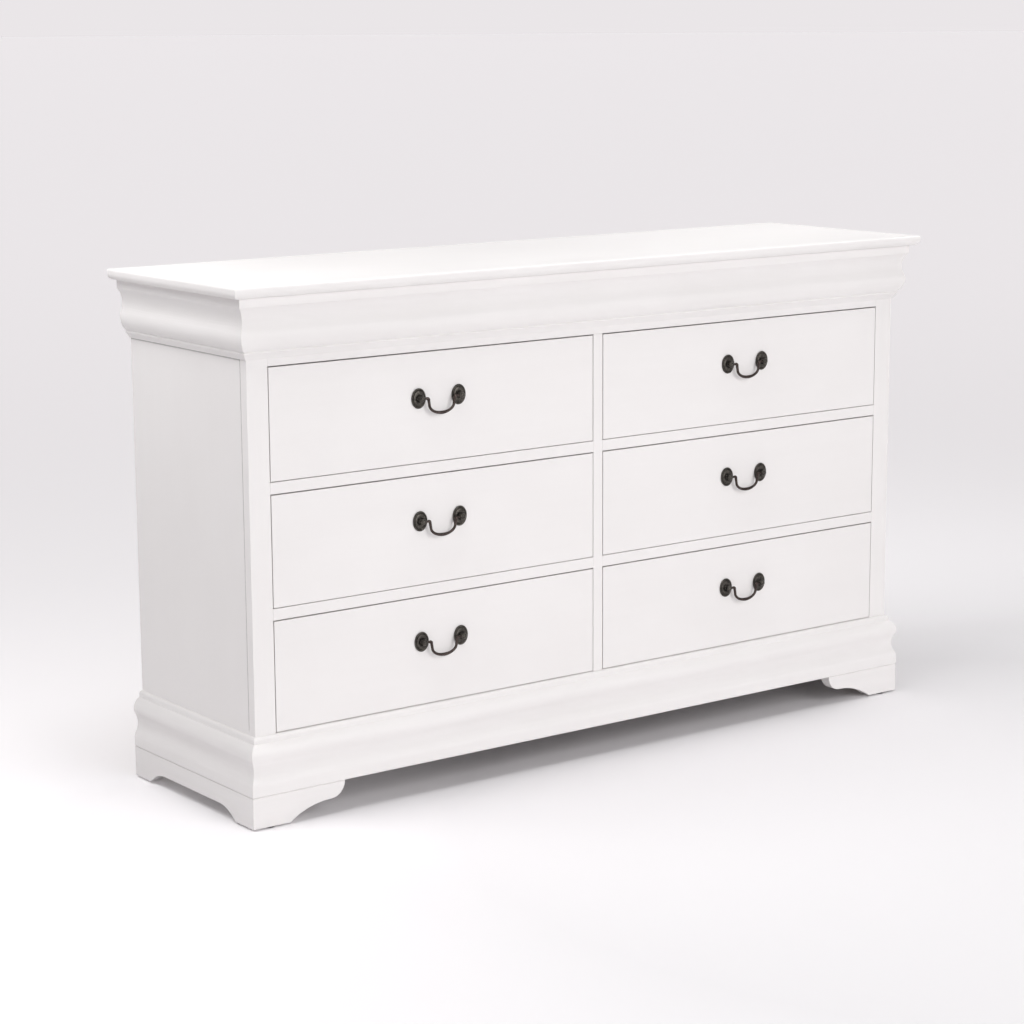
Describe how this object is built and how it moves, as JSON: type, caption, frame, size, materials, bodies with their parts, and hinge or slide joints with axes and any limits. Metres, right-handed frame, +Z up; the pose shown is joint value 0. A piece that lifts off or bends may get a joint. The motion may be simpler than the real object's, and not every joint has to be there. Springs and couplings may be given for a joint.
{
  "type": "dresser with drawers",
  "caption": "Low, wide dresser with inset drawers on runners, bail pulls, a swelling cornice, a moulded base and scroll-cut feet.",
  "frame": {"origin": "on the floor, at the centre of the overall width and depth", "axes": "+X to the right as seen from the front, +Y to the back, +Z up; the drawers open towards -Y"},
  "size_m": [1.474, 0.412, 0.874],
  "materials": {
    "white_paint": "satin white paint over wood, faint grain",
    "raw_wood": "bare sawn wood",
    "hardboard": "smooth hardboard",
    "drawer_wood": "sanded, clear sealed",
    "drawer_ply": "thin sanded plywood",
    "dark_bronze": "dark antique bronze, satin, worn on the high spots",
    "glide_plastic": "dark moulded plastic"
  },
  "bodies": {
    "case": {"top_panel": "white_paint", "cornice_front": "white_paint", "cornice_left": "white_paint", "cornice_right": "white_paint", "face_stile_left": "white_paint", "face_stile_right": "white_paint", "face_stile_centre": "white_paint", "top_rail": "white_paint", "middle_rails": "white_paint", "bottom_rail": "white_paint", "side_panel_left": "white_paint", "side_panel_right": "white_paint", "back_panel": "hardboard", "centre_partition": "raw_wood", "bottom_panel": "raw_wood", "back_rails": "raw_wood", "top_cleats": "raw_wood", "base_moulding_front": "white_paint", "base_moulding_left": "white_paint", "base_moulding_right": "white_paint", "foot_front_left": "white_paint", "foot_front_right": "white_paint", "plinth_side_left": "white_paint", "plinth_side_right": "white_paint", "back_feet": "raw_wood", "corner_blocks": "raw_wood", "foot_glides": "glide_plastic", "outer_runners": "raw_wood", "centre_runners": "raw_wood", "drawer_stops": "raw_wood"},
    "drawer_bottom_left": {"drawer_front_bottom_left": "white_paint", "drawer_box_bottom_left": "drawer_wood", "drawer_bottom_bottom_left": "drawer_ply", "pull_mounts_bottom_left": "dark_bronze"},
    "bail_bottom_left": {"pull_bail_bottom_left": "dark_bronze"},
    "drawer_bottom_right": {"drawer_front_bottom_right": "white_paint", "drawer_box_bottom_right": "drawer_wood", "drawer_bottom_bottom_right": "drawer_ply", "pull_mounts_bottom_right": "dark_bronze"},
    "bail_bottom_right": {"pull_bail_bottom_right": "dark_bronze"},
    "drawer_middle_left": {"drawer_front_middle_left": "white_paint", "drawer_box_middle_left": "drawer_wood", "drawer_bottom_middle_left": "drawer_ply", "pull_mounts_middle_left": "dark_bronze"},
    "bail_middle_left": {"pull_bail_middle_left": "dark_bronze"},
    "drawer_middle_right": {"drawer_front_middle_right": "white_paint", "drawer_box_middle_right": "drawer_wood", "drawer_bottom_middle_right": "drawer_ply", "pull_mounts_middle_right": "dark_bronze"},
    "bail_middle_right": {"pull_bail_middle_right": "dark_bronze"},
    "drawer_top_left": {"drawer_front_top_left": "white_paint", "drawer_box_top_left": "drawer_wood", "drawer_bottom_top_left": "drawer_ply", "pull_mounts_top_left": "dark_bronze"},
    "bail_top_left": {"pull_bail_top_left": "dark_bronze"},
    "drawer_top_right": {"drawer_front_top_right": "white_paint", "drawer_box_top_right": "drawer_wood", "drawer_bottom_top_right": "drawer_ply", "pull_mounts_top_right": "dark_bronze"},
    "bail_top_right": {"pull_bail_top_right": "dark_bronze"}
  },
  "joints": [
    {"name": "slide_bottom_left", "type": "slide", "parent": "case", "child": "drawer_bottom_left", "axis": [0, -1, 0], "range_m": [0, 0.28]},
    {"name": "swing_bottom_left", "type": "hinge", "parent": "drawer_bottom_left", "child": "bail_bottom_left", "pos_m": [-0.335, -0.18, 0.25898], "axis": [-1, 0, 0], "range_deg": [-15, 88]},
    {"name": "slide_bottom_right", "type": "slide", "parent": "case", "child": "drawer_bottom_right", "axis": [0, -1, 0], "range_m": [0, 0.28]},
    {"name": "swing_bottom_right", "type": "hinge", "parent": "drawer_bottom_right", "child": "bail_bottom_right", "pos_m": [0.335, -0.18, 0.25898], "axis": [-1, 0, 0], "range_deg": [-15, 88]},
    {"name": "slide_middle_left", "type": "slide", "parent": "case", "child": "drawer_middle_left", "axis": [0, -1, 0], "range_m": [0, 0.28]},
    {"name": "swing_middle_left", "type": "hinge", "parent": "drawer_middle_left", "child": "bail_middle_left", "pos_m": [-0.335, -0.18, 0.46325], "axis": [-1, 0, 0], "range_deg": [-15, 88]},
    {"name": "slide_middle_right", "type": "slide", "parent": "case", "child": "drawer_middle_right", "axis": [0, -1, 0], "range_m": [0, 0.28]},
    {"name": "swing_middle_right", "type": "hinge", "parent": "drawer_middle_right", "child": "bail_middle_right", "pos_m": [0.335, -0.18, 0.46325], "axis": [-1, 0, 0], "range_deg": [-15, 88]},
    {"name": "slide_top_left", "type": "slide", "parent": "case", "child": "drawer_top_left", "axis": [0, -1, 0], "range_m": [0, 0.28]},
    {"name": "swing_top_left", "type": "hinge", "parent": "drawer_top_left", "child": "bail_top_left", "pos_m": [-0.335, -0.18, 0.66752], "axis": [-1, 0, 0], "range_deg": [-15, 88]},
    {"name": "slide_top_right", "type": "slide", "parent": "case", "child": "drawer_top_right", "axis": [0, -1, 0], "range_m": [0, 0.28]},
    {"name": "swing_top_right", "type": "hinge", "parent": "drawer_top_right", "child": "bail_top_right", "pos_m": [0.335, -0.18, 0.66752], "axis": [-1, 0, 0], "range_deg": [-15, 88]}
  ]
}
